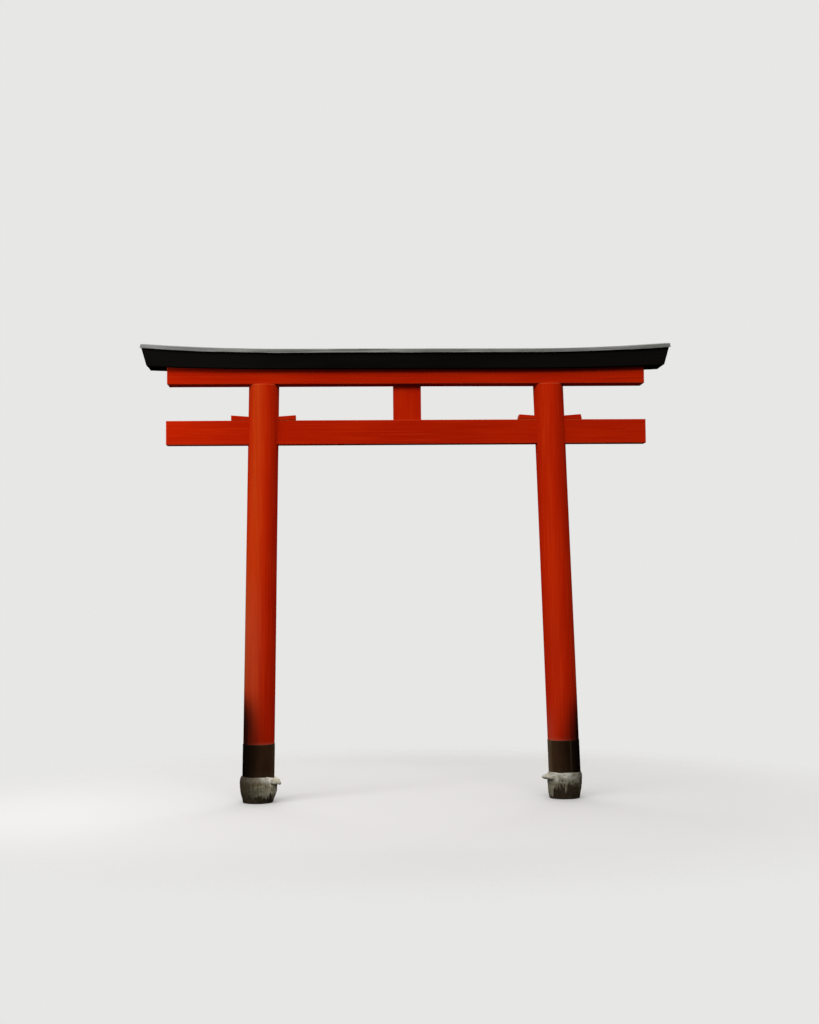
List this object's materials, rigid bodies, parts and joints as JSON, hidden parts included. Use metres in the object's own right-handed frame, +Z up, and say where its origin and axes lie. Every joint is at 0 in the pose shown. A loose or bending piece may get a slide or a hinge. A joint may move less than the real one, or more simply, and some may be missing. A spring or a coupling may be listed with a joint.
{
  "type": "small wooden torii gate",
  "caption": "Small wooden shrine gate with two leaning round posts, a wedged tie beam, a central strut, curved double lintel with roof boards, and mortar feet.",
  "frame": {"origin": "middle of the flat underside of the left mortar foot, at ground level", "axes": "+X along the gate from the left foot to the right foot, +Y through the gate away from its front, +Z up"},
  "size_m": [2.558, 0.19, 2.2042],
  "materials": {
    "vermilion_timber": "matt vermilion paint over timber",
    "black_timber": "matt black paint over timber",
    "weathered_board": "bare silver-grey weathered board",
    "black_sleeve": "dark brown-black painted sheet",
    "mortar": "rough grey mortar with dark streaks"
  },
  "bodies": {
    "root": {"left_mortar_foot": "mortar", "right_mortar_foot": "mortar", "left_foot_sleeve": "black_sleeve", "right_foot_sleeve": "black_sleeve", "left_column": "vermilion_timber", "right_column": "vermilion_timber", "tie_beam": "vermilion_timber", "left_outer_wedge": "vermilion_timber", "left_inner_wedge": "vermilion_timber", "right_inner_wedge": "vermilion_timber", "right_outer_wedge": "vermilion_timber", "central_strut": "vermilion_timber", "lower_lintel": "vermilion_timber", "upper_lintel": "black_timber", "front_roof_board": "weathered_board", "rear_roof_board": "weathered_board"}
  },
  "joints": []
}
